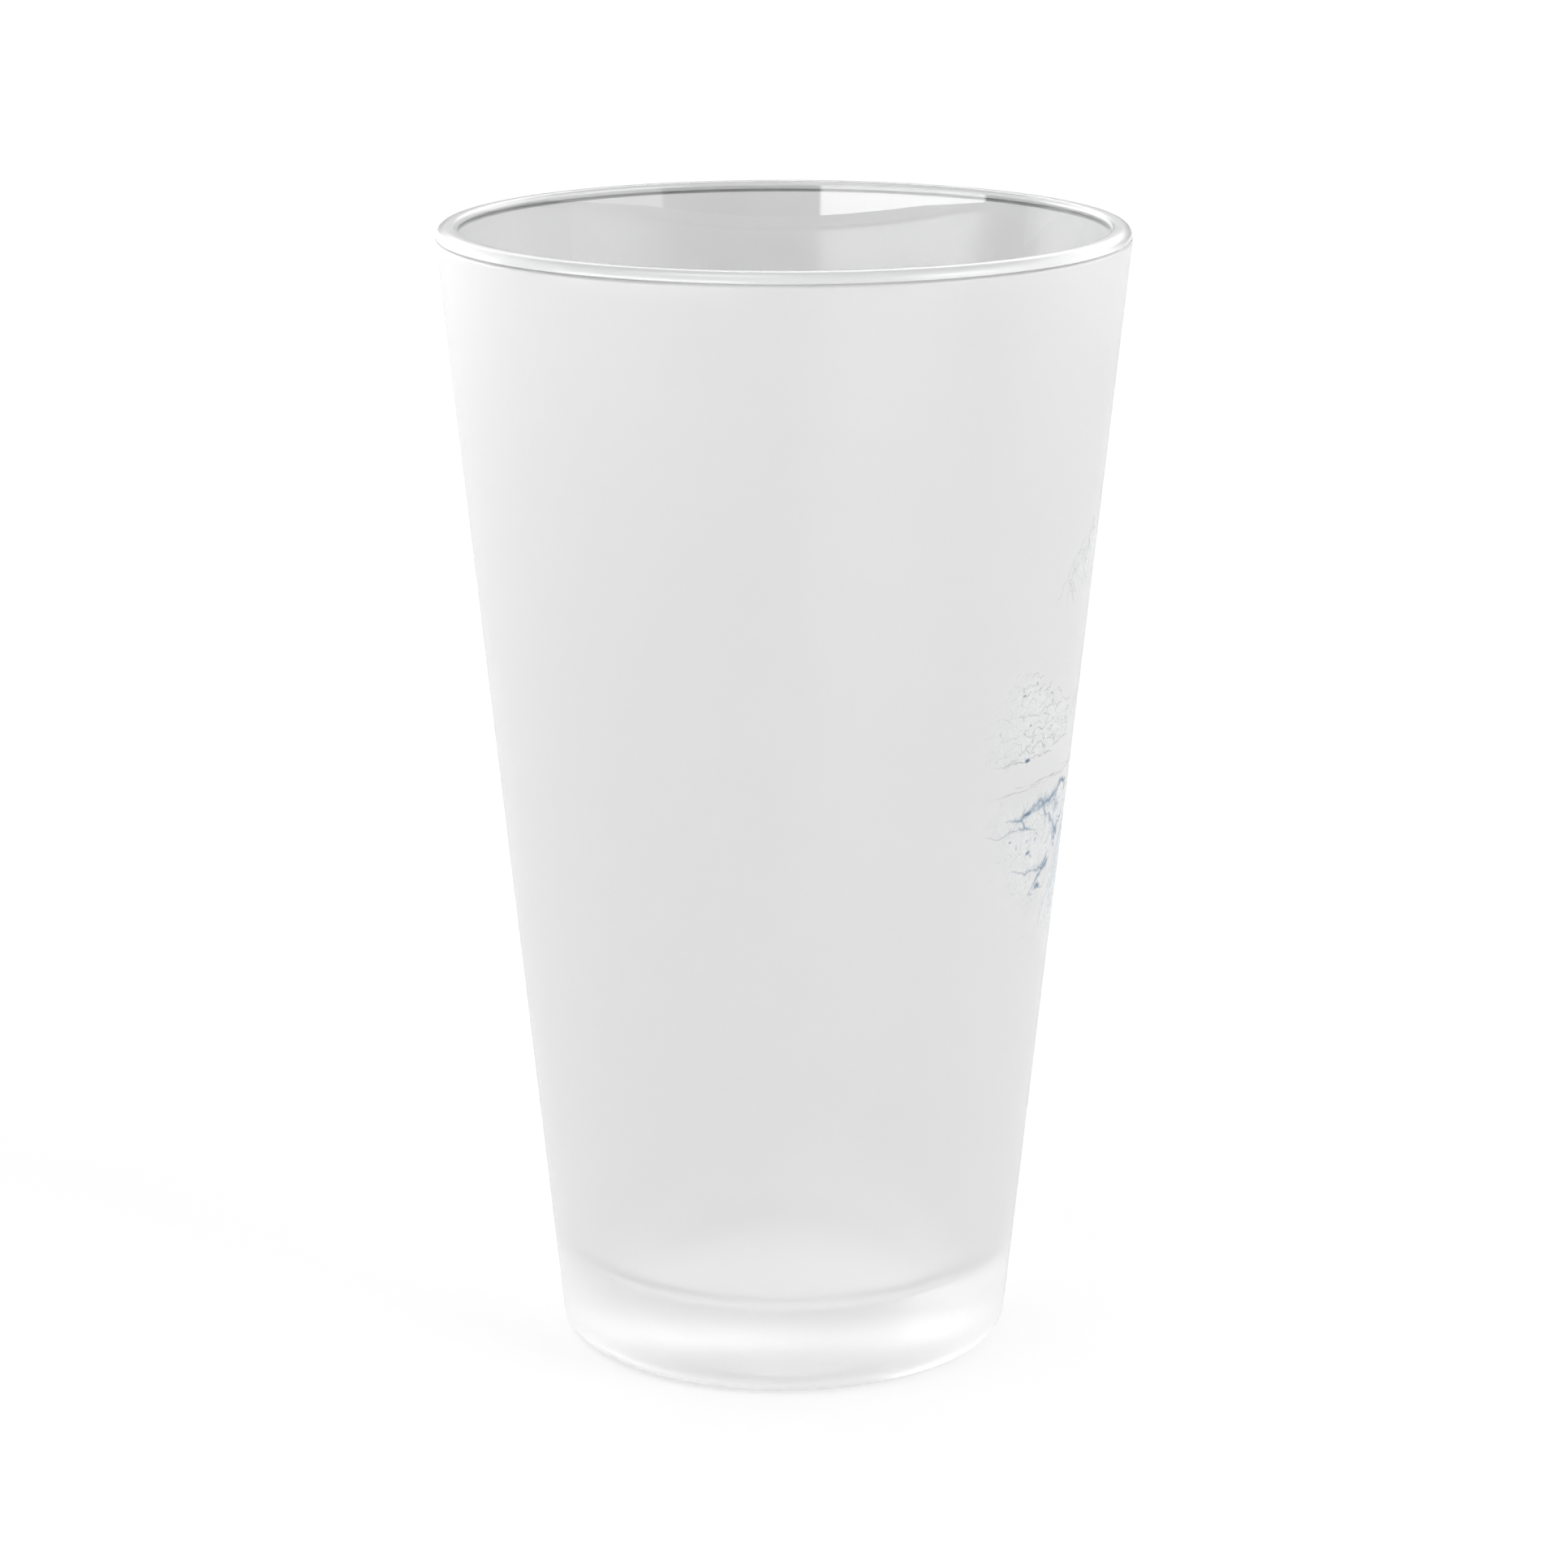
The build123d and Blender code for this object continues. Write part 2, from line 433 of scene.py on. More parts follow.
satinGrain = makeSatinGrain()
inkBreakup = makeInkBreakup()
clearGlass = makeClearGlass()
rimGlass = makeMilkyGlass("polishedLip", "lip")
footGlass = makeMilkyGlass("scuffedFoot", "foot")
coatBond = makeBonded()
satinFrost = makeFrost()
inkSet = [makeInk(name, *values) for name, values in inks.items()]
makeBody()
makeCoat()

# the printed landscape: everything here is drawn in millimetres across and up from the picture's middle
picture = {
    "middle": 85.0,              # height above the table
    "filmLift": 0.002,
    "filmThick": 0.003,
    "lineLift": 0.001,
    "lineThick": 0.012,          # lines stand higher than the washes
    "lineStep": 0.45,
    "edge": 33.0,                # the picture's round edge, where its ink melts away
    "meltOver": 9.0,
    "edgeInk": 0.2,
    "bleed": 1.7,                # how much wider the soft edge makes a stroke
    "press": (0.8, 0.5),         # the pen's usual pressure and how much it varies
    "tip": 0.12,                 # how thin a stroke's ends get
    "shakePitch": 0.9,           # how closely the hand's wobbles follow each other
    "filmRings": 14,
    "filmSoft": 0.25,            # the share of a wash that fades out
    "blotRings": 3,
    "blotSoft": 0.6,
    "blotWobble": 0.7,
}

# what each island of the picture covers, with the outlines of the frame's ink films
islands = {
    "ridge": [(-18.4, 21.8), (-12, 27.2), (-6, 32), (-1, 34.2), (4, 31.6), (9.5, 28), (15.5, 23.2), (20, 18.6),
              (13.5, 18.8), (8, 15), (2, 17.6), (-3.5, 14), (-9, 18), (-14, 19)],
    "leftBank": [(-31.4, -1.6), (-31.9, 3), (-29.8, 8.2), (-27, 9.8), (-22.5, 8), (-16.5, 4.6), (-10.2, 0),
                 (-19, -2.1), (-27.5, -2.5)],
    "rightBank": [(31.3, -1.8), (31.7, 2.4), (29.2, 6.4), (24.5, 7.2), (18, 4.6), (9.4, -0.4), (17.5, -2.2),
                  (26, -2.6)],
    "leftShore": [(-6.8, -8.6), (-10.5, -7), (-18, -7.3), (-26, -7.6), (-30.8, -8.6), (-29, -13.2), (-25.6, -19),
                  (-21.5, -23.6), (-17.8, -25.6), (-13.2, -19.6), (-9.6, -14)],
    "rightShore": [(1.4, -9.4), (5, -7.3), (14, -7.4), (24, -7.3), (30.6, -8.8), (29.4, -12.4), (26.2, -18.2),
                   (20, -24.8), (13.5, -28.8), (8, -30.4), (6, -23), (3.2, -15.6)],
    "stream": [(-4.6, -7.6), (-8.2, -14.6), (-11.9, -20.4), (-16.4, -27), (-10.4, -30), (-2.5, -31.8), (4.8, -31),
               (3.4, -23.6), (0.7, -16), (-1.6, -9)],
}


def onPrint(across, up, out):
    # a place in the picture, lying out from the coat's face
    z = (picture["middle"] + up) * mm
    turn = across * mm / (wallRadius(z) + coatShape["thickness"] / cos(lean))
    r, height = onWall(z, coatShape["thickness"] + out * mm)
    return (r * cos(turn), r * sin(turn), height)


def smoothLoop(points, perSpan=6):
    # a closed curve through the points
    n = len(points)
    loop = []
    for i in range(n):
        a, b, c, d = (Vector(points[(i + k) % n]) for k in (-1, 0, 1, 2))
        slope, bend, twist = c - a, a * 2 - b * 5 + c * 4 - d, b * 3 - a - c * 3 + d
        for k in range(perSpan):
            t = k / perSpan
            loop.append(b + slope * (t / 2) + bend * (t * t / 2) + twist * (t**3 / 2))
    return loop


def inside(point, loop):
    # counts how often a line to the right of the point crosses the outline
    hit = False
    for a, b in zip(loop, loop[1:] + loop[:1]):
        if (a[1] > point[1]) != (b[1] > point[1]):
            if point[0] < (b[0] - a[0]) * (point[1] - a[1]) / (b[1] - a[1]) + a[0]:
                hit = not hit
    return hit


def handDrawn(points, shake, rng):
    # redraws a run of straight bits with even steps and a slightly unsteady hand
    phase, pitch = rng.uniform(0, 100), picture["shakePitch"]
    line = []
    for a, b in zip(points, points[1:]):
        a, b = Vector(a), Vector(b)
        steps = max(1, round((b - a).length / picture["lineStep"]))
        line += [a.lerp(b, k / steps) for k in range(steps)]
    line.append(Vector(points[-1]))
    for p in line:
        p.x += shake * noise.noise((p.x * pitch, p.y * pitch, phase))
        p.y += shake * noise.noise((p.x * pitch, p.y * pitch, phase + 50))
    return line


def wobblyRing(centre, across, up, shake, rng, start=0.0, sweep=2 * pi, steps=14):
    # a leaf or pebble outline; with a sweep under a full turn it stays open
    phase = rng.uniform(0, 100)
    ring = []
    for k in range(steps + (sweep < 2 * pi)):
        a = start + sweep * k / steps
        grow = 1 + shake * noise.noise((cos(a) * 1.3, sin(a) * 1.3, phase))
        ring.append(Vector((centre[0] + across * grow * cos(a), centre[1] + up * grow * sin(a))))
    return ring


def scatter(loop, spacing, rng, tries=4000):
    # points inside an outline that keep their distance from each other
    xs, ys = [p[0] for p in loop], [p[1] for p in loop]
    found = []
    for _ in range(tries):
        p = Vector((rng.uniform(min(xs), max(xs)), rng.uniform(min(ys), max(ys))))
        if inside(p, loop) and all((p - q).length > spacing for q in found):
            found.append(p)
    return found


def cellAround(site, sites, spacing, gap):
    # the patch of ground nearer to this site than to any other, shrunk by a gap and with its corners cut
    wide = spacing * 1.1
    narrow = wide * 0.6
    eightCorners = ((-wide, -narrow), (-narrow, -wide), (narrow, -wide), (wide, -narrow),
                    (wide, narrow), (narrow, wide), (-narrow, wide), (-wide, narrow))
    cell = [site + Vector(corner) for corner in eightCorners]
    for other in sites:
        way = other - site
        if other is site or way.length > 3 * spacing:
            continue
        limit = way.length / 2 - gap
        way = way.normalized()
        kept = []
        for a, b in zip(cell, cell[1:] + cell[:1]):
            da, db = (a - site).dot(way) - limit, (b - site).dot(way) - limit
            if da <= 0:
                kept.append(a)
            if da * db < 0:
                kept.append(a.lerp(b, da / (da - db)))
        cell = kept
    for _ in range(2):
        cell = [p for a, b in zip(cell, cell[1:] + cell[:1]) for p in (a.lerp(b, 0.25), a.lerp(b, 0.75))]
    return cell


veinDrawing = {
    "knots": 5,
    "wander": 0.05,
    "shake": 0.5,
    "halo": 2.6,                 # width of the blue edge, in widths of the vein
    "shoots": 5,
    "shootTurn": (0.5, 1.1),
    "shootLength": (0.8, 2.2),
    "shootWidth": 0.55,
    "shootShake": 0.4,
}


class InkSheet:
    # collects the films and lines of one island of the picture into one mesh
    def __init__(self, name, seed):
        self.name = name
        self.rng = random.Random(seed)
        self.bm = bmesh.new()
        self.fade = self.bm.verts.layers.float.new("inkFade")

    def vert(self, p, out, fade=1.0):
        # a point of the print; the picture melts away towards its round edge
        reach = sqrt(p[0] ** 2 + p[1] ** 2)
        melt = min(1.0, max(picture["edgeInk"], (picture["edge"] - reach) / picture["meltOver"]))
        v = self.bm.verts.new(onPrint(p[0], p[1], out))
        v[self.fade] = fade * melt
        return v

    def face(self, verts, ink):
        f = self.bm.faces.new(verts)
        f.smooth = True
        f.material_index = ink

    def film(self, loop, ink, rings=picture["filmRings"], soft=picture["filmSoft"]):
        # a thin flat patch of ink, thinner in colour towards its edge
        centre = sum(loop, Vector((0, 0))) / len(loop)
        low, high = picture["filmLift"], picture["filmLift"] + picture["filmThick"]
        sides = []
        for out in (high, low):
            rows = []
            for k in range(1, rings + 1):
                share = k / rings
                rows.append([self.vert(centre.lerp(p, share), out, min(1, (1 - share) / soft)) for p in loop])
            sides.append((self.vert(centre, out), rows))
        n = len(loop)
        for (tip, rows), turn in zip(sides, (1, -1)):
            for i in range(n):
                j = (i + 1) % n
                self.face([tip, rows[0][i], rows[0][j]][::turn], ink)
                for a, b in zip(rows, rows[1:]):
                    self.face([a[i], b[i], b[j], a[j]][::turn], ink)
        top, bottom = sides[0][1][-1], sides[1][1][-1]
        for i in range(n):
            j = (i + 1) % n
            self.face([top[i], bottom[i], bottom[j], top[j]], ink)

    def line(self, points, width, ink):
        # one stroke of ink, domed across, tapered at its ends and thin in colour at its edges
        n = len(points)
        low, high = picture["lineLift"], picture["lineLift"] + picture["lineThick"]
        usual, varies = picture["press"]
        phase = self.rng.uniform(0, 100)
        rows = []
        for i, p in enumerate(points):
            before, after = points[max(0, i - 1)], points[min(n - 1, i + 1)]
            way = (after - before).normalized()
            across = Vector((-way.y, way.x))
            press = usual + varies * noise.noise((p[0] * 0.6, p[1] * 0.6, phase))
            taper = max(picture["tip"], sin(pi * (i + 0.15) / (n - 0.7)) ** 0.6)
            half = across * (width / 2 * picture["bleed"] * press * taper)
            rows.append([self.vert(p - half, low, 0.0), self.vert(p, high), self.vert(p + half, low, 0.0)])
        for a, b in zip(rows, rows[1:]):
            for i, j in ((0, 1), (1, 2), (2, 0)):
                self.face([a[i], a[j], b[j], b[i]], ink)
        self.face(rows[0][::-1], ink)
        self.face(rows[-1], ink)

    def vein(self, start, end, width, ink):
        # a root or crack with a blue edge, which wanders from start to end and throws side shoots
        v = veinDrawing
        start, end = Vector(start), Vector(end)
        run = end - start
        side = Vector((-run.y, run.x)).normalized()
        knots = [start.lerp(end, k / v["knots"]) + side * self.rng.uniform(-v["wander"], v["wander"]) * run.length
                 for k in range(v["knots"] + 1)]
        knots[0], knots[-1] = start, end
        line = handDrawn(knots, v["shake"], self.rng)
        self.line(line, width * v["halo"], blueInk)
        self.line(line, width, ink)
        for _ in range(v["shoots"]):
            k = self.rng.randrange(1, max(2, len(line) - 1))
            turn = self.rng.choice((-1, 1)) * self.rng.uniform(*v["shootTurn"])
            shoot = Vector((run.x * cos(turn) - run.y * sin(turn), run.x * sin(turn) + run.y * cos(turn)))
            tip = line[k] + shoot.normalized() * self.rng.uniform(*v["shootLength"])
            self.line(handDrawn([line[k], tip], v["shootShake"], self.rng), width * v["shootWidth"], ink)

    def blot(self, centre, across, up, ink):
        ring = wobblyRing(centre, across, up, picture["blotWobble"], self.rng, steps=18)
        self.film(ring, ink, picture["blotRings"], picture["blotSoft"])

    def finish(self, node):
        self.bm.normal_update()
        bmesh.ops.recalc_face_normals(self.bm, faces=self.bm.faces)
        mesh = bpy.data.meshes.new(self.name)
        self.bm.to_mesh(mesh)
        self.bm.free()
        for ink in inkSet:
            mesh.materials.append(ink)
        obj = bpy.data.objects.new(self.name, mesh)
        bpy.context.collection.objects.link(obj)
        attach(obj, "root")
        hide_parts(node)
        print(self.name + ":", len(mesh.polygons), "faces")


lineInk, deepInk, washInk, blueInk, paleInk = range(len(inks))      # the slots of every ink sheet

# widths of strokes, their lengths, and how unsteady they are
ridgeDrawing = {
    "skyline": 0.36,
    "spur": 0.26,
    "hatch": 0.18,
    "foothill": 0.2,
    "hatches": 7,
    "hatchLength": (1.0, 3.2),
    "hatchSteepness": (0.5, 0.9),
    "dropLength": (0.8, 2.2),
    "skylineShake": 0.9,
    "spurShake": 1.2,
    "hillShake": 0.8,
    "hatchShake": 0.3,
}
foothills = (
    ((-9, 6.6), (-4.6, 9.8), (0.6, 12.4), (5.4, 10.2), (9.6, 6.8)),
    ((-4, 2.2), (0.8, 5.2), (6, 6.4), (9.4, 3.4)),
    ((-10.6, 1.8), (-7, 4.4), (-3.2, 5.4), (0.6, 3)),
)
# each spur runs from a top to a foot
spurs = (
    ((-15.6, 24.4), (-18.6, 17.6)), ((-11.2, 27.8), (-13.2, 18.6)), ((-6.2, 31.6), (-7.6, 23.4)),
    ((-2.4, 33.4), (-3.4, 15.2)), ((-0.4, 33.6), (1.8, 18.8)), ((4.2, 31.2), (5.6, 21)),
    ((7.6, 29.2), (8.2, 16.2)), ((12, 26), (13, 19.4)),
)


def drawRidge():
    d = ridgeDrawing
    sheet = InkSheet("mountainRidge", 11)
    rng = sheet.rng
    skyline = [(-21.4, 18.2)] + islands["ridge"][:8]
    sheet.film(smoothLoop(islands["ridge"]), washInk)
    for start in range(0, 8, 2):
        sheet.line(handDrawn(skyline[start:start + 3], d["skylineShake"], rng), d["skyline"], lineInk)
    second = [(x + 0.6, y - 1.3) for x, y in skyline[1:6]]
    sheet.line(handDrawn(second, 1.1, rng), d["spur"], lineInk)
    for top, foot in spurs:
        bend = Vector(top).lerp(Vector(foot), 0.5) + Vector((rng.uniform(-0.9, 0.9), 0))
        spur = handDrawn([top, bend, foot], d["spurShake"], rng)
        sheet.line(spur, d["spur"], lineInk)
        for k in range(d["hatches"]):
            start = spur[int(len(spur) * (0.1 + 0.8 * k / d["hatches"]))]
            length = rng.uniform(*d["hatchLength"])
            tip = start + Vector((length * 0.75, -length * rng.uniform(*d["hatchSteepness"])))
            sheet.line(handDrawn([start, tip], d["hatchShake"], rng), d["hatch"], lineInk)
    for hill in foothills:
        sheet.line(handDrawn(hill, d["hillShake"], rng), d["foothill"], lineInk)
        for x, y in handDrawn(hill, d["hillShake"], rng)[2:-2:3]:
            drop = rng.uniform(*d["dropLength"])
            below = [(x, y - 0.3), (x + 0.35 * drop, y - drop)]
            sheet.line(handDrawn(below, d["hatchShake"], rng), d["hatch"], lineInk)
    sheet.finish("print_ridge")


bankDrawing = {
    "leaf": 0.17,
    "leafSize": (0.6, 1.25),
    "leafStart": (-0.9, 1.2),    # in radians, like the sweep
    "leafSweep": (1.6, 3.6),
    "leafWobble": 1.1,
    "leafPress": (0.7, 1.5),
    "spacing": 1.35,
    "knots": 7,
    "knotSpacing": 3.4,
    "tier": (1.6, 2.2),          # height of the first row of growth, then the step to the next
    "tiers": 3,
    "tierShake": 1.2,
    "waterline": 0.3,
    "waterlineShake": 0.7,
}


def drawBank(name, node, seed, waterline, blots):
    d = bankDrawing
    sheet = InkSheet(name, seed)
    rng = sheet.rng
    loop = smoothLoop(islands[name])
    sheet.film(loop, washInk)
    for p in scatter(loop, d["spacing"], rng):
        # crowns of leaves: most are only half an outline
        size = rng.uniform(*d["leafSize"])
        start, sweep = rng.uniform(*d["leafStart"]), rng.uniform(*d["leafSweep"])
        ring = wobblyRing(p, size, size * 0.8, d["leafWobble"], rng, start, sweep, 9)
        sheet.line(ring, d["leaf"] * rng.uniform(*d["leafPress"]), lineInk)
    for p in scatter(loop, d["knotSpacing"], rng)[:d["knots"]]:
        sheet.blot(p, rng.uniform(0.2, 0.45), rng.uniform(0.15, 0.3), lineInk)
    for k in range(d["tiers"]):
        high = d["tier"][0] + d["tier"][1] * k
        row = [Vector((x, y + high)) for x, y in waterline]
        row = [p for p in handDrawn(row, d["tierShake"], rng) if inside(p, loop)]
        if len(row) > 4:
            sheet.line(row, d["leaf"] * 1.2, lineInk)
    for start in range(len(waterline) - 1):
        sheet.line(handDrawn(waterline[start:start + 2], d["waterlineShake"], rng), d["waterline"], lineInk)
    for centre, across, up in blots:
        sheet.blot(centre, across, up, deepInk)
    sheet.finish(node)


waterDrawing = {
    "height": -6,
    "line": 0.2,
    "lineShake": 0.3,
    "ripple": 0.14,
    "ripples": 26,
    "rippleLength": (1.2, 4),
    "rippleShake": 0.2,
}


def drawFarWater():
    d = waterDrawing
    sheet = InkSheet("farWater", 31)
    rng = sheet.rng
    for start, end in ((-31.2, -17), (-16.2, -3), (-1.5, 12.5), (13.6, 31.2)):
        run = [(start, d["height"]), (end, d["height"])]
        sheet.line(handDrawn(run, d["lineShake"], rng), d["line"], lineInk)
    for _ in range(d["ripples"]):
        x, length = rng.uniform(-29, 27), rng.uniform(*d["rippleLength"])
        y = d["height"] + rng.choice((-0.35, 0.35, 0.6)) + rng.uniform(-0.1, 0.1)
        sheet.line(handDrawn([(x, y), (x + length, y)], d["rippleShake"], rng), d["ripple"], lineInk)
    sheet.finish("print_far_water")


shoreDrawing = {
    "spacing": 1.9,
    "gap": 0.16,
    "edge": (0.16, 0.34),        # stroke widths far from the stream and beside it
    "stone": 0.13,
    "streamSide": -4,
    "deepReach": 17.0,           # how far from the stream the stones are still darker
    "deepFrom": 0.45,
    "haloFrom": 0.55,
    "haloWidth": 1.9,
    "shaded": 0.45,              # the share of stones with an inner stroke
    "blots": (0.04, 0.3),
}


def drawShore(name, node, seed, veins, blots, pools):
    d = shoreDrawing
    sheet = InkSheet(name, seed)
    rng = sheet.rng
    loop = smoothLoop(islands[name])
    sheet.film(loop, washInk)
    sites = scatter(loop, d["spacing"], rng)
    for site in sites:
        # stones are drawn darker and heavier near the stream, and their outlines are broken
        near = max(0.0, 1 - abs(site.x - d["streamSide"]) / d["deepReach"] * rng.uniform(0.7, 1.2))
        stone = cellAround(site, sites, d["spacing"], d["gap"])
        n = len(stone)
        start, length = rng.randrange(n), int(n * rng.uniform(0.3, 0.55 + 0.4 * near))
        width = d["edge"][0] + (d["edge"][1] - d["edge"][0]) * near
        run = [stone[(start + k) % n] for k in range(length)]
        run = [p for p in run if inside(p, loop)]
        if len(run) > 3:
            sheet.line(run, width, deepInk if near > d["deepFrom"] else lineInk)
            if near > d["haloFrom"]:
                sheet.line([p.lerp(site, 0.12) for p in run], width * d["haloWidth"], blueInk)
        if rng.random() < d["shaded"]:
            sheet.line([site.lerp(p, 0.6) for p in stone[:n // 3]], d["stone"], lineInk)
        if rng.random() < d["blots"][0] + near * d["blots"][1]:
            sheet.blot(site, rng.uniform(0.3, 0.7), rng.uniform(0.2, 0.45), blueInk)
    for begin, end, width in veins:
        sheet.vein(begin, end, width, deepInk)
    for centre, across, up in blots:
        sheet.blot(centre, across, up, deepInk)
    for centre, across, up in pools:
        sheet.blot(centre, across, up, blueInk)
    sheet.finish(node)


streamDrawing = {
    "streaks": 40,
    "dash": (7.0, 20.0),
    "line": (0.2, 0.36),
    "softer": 1.5,               # pale and blue streaks are this much wider than deep ones
    "shake": 0.35,
    "left": ((-4.4, -8.4), (-8.4, -15.2), (-12, -21), (-15.8, -27)),
    "right": ((-2, -8.4), (0.4, -15.4), (3, -23), (4.4, -30.6)),
}


def drawStream():
    d = streamDrawing
    sheet = InkSheet("valleyStream", 51)
    rng = sheet.rng
    sheet.film(smoothLoop(islands["stream"]), washInk)
    turnsOfInk = (paleInk, blueInk, paleInk, blueInk, paleInk, deepInk)
    for k in range(d["streaks"]):
        share = (k + 0.5) / d["streaks"]
        course = [Vector(a).lerp(Vector(b), share) for a, b in zip(d["left"], d["right"])]
        course = handDrawn(course, d["shake"], rng)
        start = rng.randrange(0, len(course) // 2)
        length = int(rng.uniform(*d["dash"]) / picture["lineStep"])
        run = course[start:start + length + 3]
        ink = turnsOfInk[k % len(turnsOfInk)]
        if len(run) > 3:
            sheet.line(run, rng.uniform(*d["line"]) * (1 if ink == deepInk else d["softer"]), ink)
    sheet.finish("print_stream")


drawRidge()
drawBank("leftBank", "print_left_bank", 21, waterline=[(-31, -1.9), (-24, -2.2), (-17, -1.9), (-10.4, -0.4)],
         blots=[((-23.7, -2.1), 0.8, 0.3), ((-26.4, 6.8), 0.5, 0.2)])
drawBank("rightBank", "print_right_bank", 22, waterline=[(31, -1.9), (25, -2.3), (17.5, -1.9), (10, -0.6)],
         blots=[((21.4, -2.1), 0.7, 0.3), ((26.4, 4.2), 0.5, 0.2)])
drawFarWater()
drawShore("leftShore", "print_left_shore", 41,
          veins=[((-26.8, -9.6), (-8, -8), 0.62), ((-30.2, -10.8), (-19, -12), 0.24),
                 ((-17.4, -9.8), (-9.8, -15.4), 0.42), ((-24.6, -16.8), (-14, -18.2), 0.26),
                 ((-19.6, -21.4), (-13.6, -16.2), 0.34)],
          blots=[((-20.4, -15), 0.8, 0.3), ((-16.4, -20.4), 1.2, 0.5), ((-25.2, -12.6), 0.4, 0.2),
                 ((-21.8, -9.5), 0.9, 0.3)],
          pools=[((-12.6, -10.8), 1.6, 0.9), ((-11.4, -14.4), 1.2, 1.3), ((-14.2, -17.6), 1.2, 0.8),
                 ((-19, -9.4), 2.4, 0.5)])
drawShore("rightShore", "print_right_shore", 42,
          veins=[((3.6, -8.4), (27.4, -9.8), 0.55), ((6, -14), (19, -12.6), 0.36),
                 ((9.6, -25.6), (20.4, -19.2), 0.26)],
          blots=[((11.2, -17.4), 1.2, 0.5), ((17.6, -22.6), 0.9, 0.35), ((24.6, -13.2), 0.7, 0.3)],
          pools=[((6.4, -12), 1.4, 1.0), ((8.2, -19.8), 1.3, 1.1), ((15, -15.6), 1.1, 0.7)])
drawStream()

view = {
    "distance": 0.58385,
    "height": 0.227,
    "pitch": radians(90 - 14.68),    # it looks down a little
    "lens": 105.37,
    "sensor": 36,
}


def makeCamera():
    cam = bpy.data.cameras.new("viewCamera")
    cam.sensor_width = view["sensor"]
    cam.lens = view["lens"]
    obj = bpy.data.objects.new("viewCamera", cam)
    obj.location = (0, -view["distance"], view["height"])
    obj.rotation_euler = (view["pitch"], 0, 0)
    bpy.context.collection.objects.link(obj)
    bpy.context.scene.camera = obj


studio = {
    "floorHalf": 3.0,
    "floorColour": (0.35, 0.35, 0.35, 1),
    "floorGlow": 0.646,          # the table is lit from below, so it stays white
    "floorDrop": 0.1 * mm,
    "seenBackdrop": 1.2,         # the backdrop as the camera sees it
    "edge": 2.0,                 # degrees over which a panel fades out
    # middle and half width round the glass in degrees, left negative, then bottom, top and brightness
    "panels": {
        "leftKey": (-45.7, 32.3, -6, 12, 7.9),
        "leftSide": (-94, 16, 12, 40, 1.3),
        "leftRim": (-134, 24, -6, 12, 9.2),
        "leftSweep": (-145, 35, 12, 40, 2.4),
        "front": (0, 13.4, -6, 60, 0.25),
        "ceiling": (0, 200, 40, 100, 0.1),
        "topKey": (-45, 35, 60, 90, 4.6),
        "rightKey": (61.5, 16.5, 12, 40, 5.7),
        "rightFill": (77.5, 32.5, -6, 12, 2.6),
        "rightSide": (94, 16, 12, 40, 2.0),
        "rightRim": (122.5, 12.5, -6, 12, 4.1),
        "rightSweep": (145, 35, 12, 40, 3.0),
    },
}


def makePanelWindow():
    # 1 inside one softbox or reflector of the room, 0 outside it, with soft edges
    group = bpy.data.node_groups.new("panelWindow", "ShaderNodeTree")
    addSockets(group, (("Azimuth", 0.0), ("Elevation", 0.0), ("Middle", 0.0), ("Half Width", 0.5),
                       ("Bottom", 0.0), ("Top", 0.5), ("Edge", 0.05)), ("Inside",))
    nodes, links = group.nodes, group.links
    given, result = nodes.new("NodeGroupInput").outputs, nodes.new("NodeGroupOutput")
    offset = mathNode(nodes, links, "SUBTRACT", given["Azimuth"], given["Middle"])
    across = mathNode(nodes, links, "ABSOLUTE", mathNode(nodes, links, "WRAP", offset, pi, -pi))
    gaps = (mathNode(nodes, links, "SUBTRACT", given["Half Width"], across),
            mathNode(nodes, links, "SUBTRACT", given["Elevation"], given["Bottom"]),
            mathNode(nodes, links, "SUBTRACT", given["Top"], given["Elevation"]))
    inside = 1.0
    for gap in gaps:
        ramp = nodes.new("ShaderNodeMapRange")
        ramp.interpolation_type = "SMOOTHSTEP"
        links.new(gap, ramp.inputs["Value"])
        links.new(mathNode(nodes, links, "MULTIPLY", given["Edge"], -0.5), ramp.inputs["From Min"])
        links.new(mathNode(nodes, links, "MULTIPLY", given["Edge"], 0.5), ramp.inputs["From Max"])
        inside = mathNode(nodes, links, "MULTIPLY", ramp.outputs["Result"], inside)
    links.new(inside, result.inputs["Inside"])
    return group


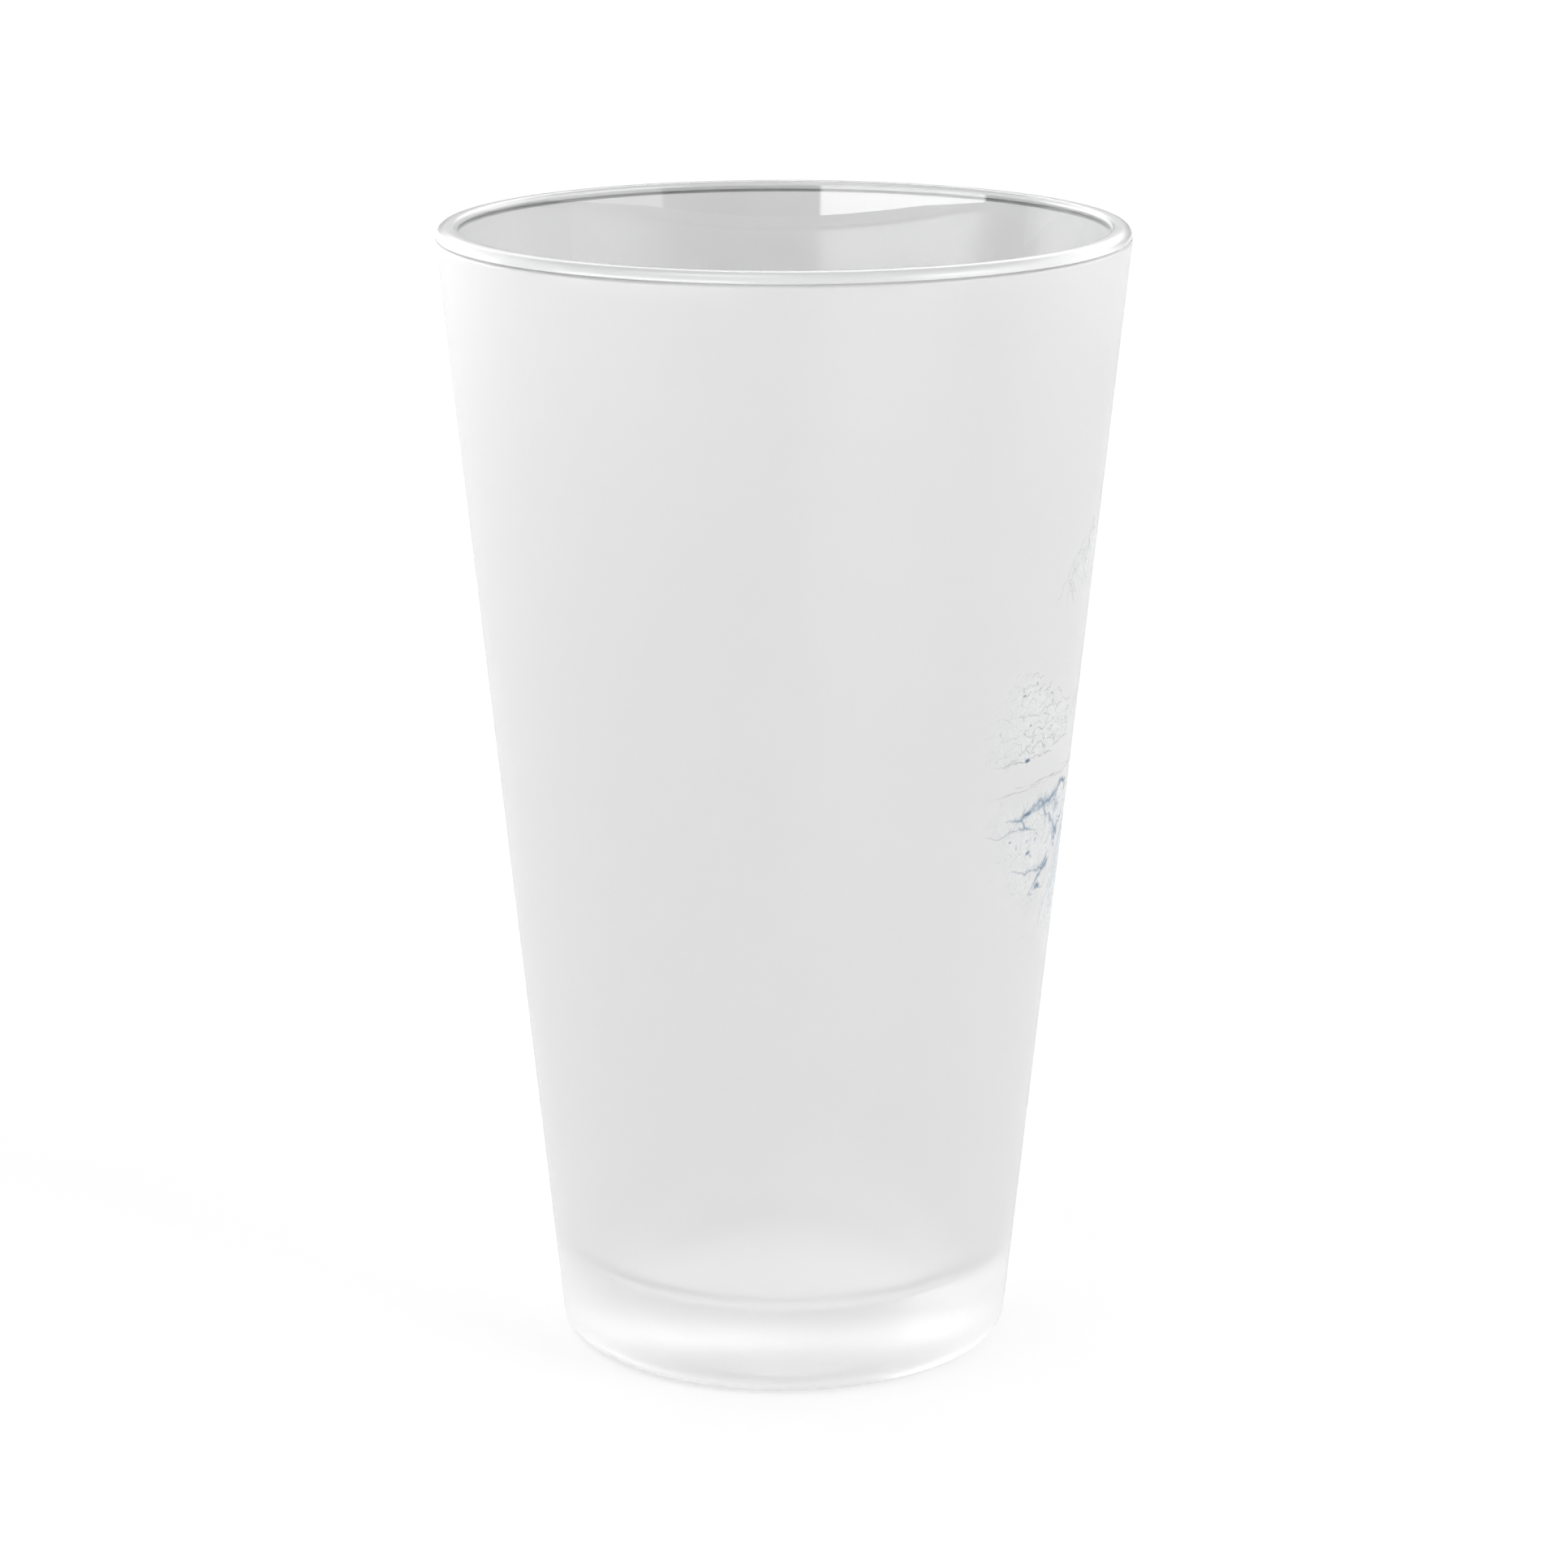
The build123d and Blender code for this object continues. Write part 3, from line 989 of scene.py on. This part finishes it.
def makeStudio():
    scene = bpy.context.scene
    half = studio["floorHalf"]
    mesh = bpy.data.meshes.new("floor")
    z = -studio["floorDrop"]
    corners = [(-half, -half, z), (half, -half, z), (half, half, z), (-half, half, z)]
    mesh.from_pydata(corners, [], [(0, 1, 2, 3)])
    floor = bpy.data.objects.new("floor", mesh)
    bpy.context.collection.objects.link(floor)
    mat, shader = newMaterial("whiteSweep")
    shader.inputs["Base Color"].default_value = studio["floorColour"]
    shader.inputs["Roughness"].default_value = 1.0
    shader.inputs["Specular IOR Level"].default_value = 0.0
    shader.inputs["Emission Color"].default_value = (1, 1, 1, 1)
    shader.inputs["Emission Strength"].default_value = studio["floorGlow"]
    mesh.materials.append(mat)

    world = bpy.data.worlds.new("studioRoom")
    scene.world = world
    world.use_nodes = True
    nodes, links = world.node_tree.nodes, world.node_tree.links
    nodes.clear()
    parts = nodes.new("ShaderNodeSeparateXYZ")
    links.new(nodes.new("ShaderNodeTexCoord").outputs["Generated"], parts.inputs[0])
    toCamera = mathNode(nodes, links, "MULTIPLY", parts.outputs["Y"], -1.0)
    azimuth = mathNode(nodes, links, "ARCTAN2", parts.outputs["X"], toCamera)
    elevation = mathNode(nodes, links, "ARCSINE", parts.outputs["Z"])
    window = makePanelWindow()
    total = 0.0
    for middle, halfWidth, bottom, top, brightness in studio["panels"].values():
        panel = placeGroup(nodes, window, **{"Middle": radians(middle), "Half Width": radians(halfWidth),
                                             "Bottom": radians(bottom), "Top": radians(top),
                                             "Edge": radians(studio["edge"])})
        links.new(azimuth, panel.inputs["Azimuth"])
        links.new(elevation, panel.inputs["Elevation"])
        total = mathNode(nodes, links, "MULTIPLY_ADD", panel.outputs["Inside"], brightness, total)
    room = nodes.new("ShaderNodeBackground")
    room.inputs["Color"].default_value = (1, 1, 1, 1)
    links.new(total, room.inputs["Strength"])
    white = nodes.new("ShaderNodeBackground")
    white.inputs["Color"].default_value = (1, 1, 1, 1)
    white.inputs["Strength"].default_value = studio["seenBackdrop"]
    seen = nodes.new("ShaderNodeLightPath")
    mix = nodes.new("ShaderNodeMixShader")
    links.new(seen.outputs["Is Camera Ray"], mix.inputs["Fac"])
    links.new(room.outputs[0], mix.inputs[1])
    links.new(white.outputs[0], mix.inputs[2])
    out = nodes.new("ShaderNodeOutputWorld")
    links.new(mix.outputs[0], out.inputs["Surface"])

    scene.view_settings.view_transform = "Standard"
    scene.cycles.max_bounces = 24
    scene.cycles.transmission_bounces = 20
    scene.cycles.glossy_bounces = 8
    scene.cycles.transparent_max_bounces = 32
    print("studio ready")


makeCamera()
makeStudio()
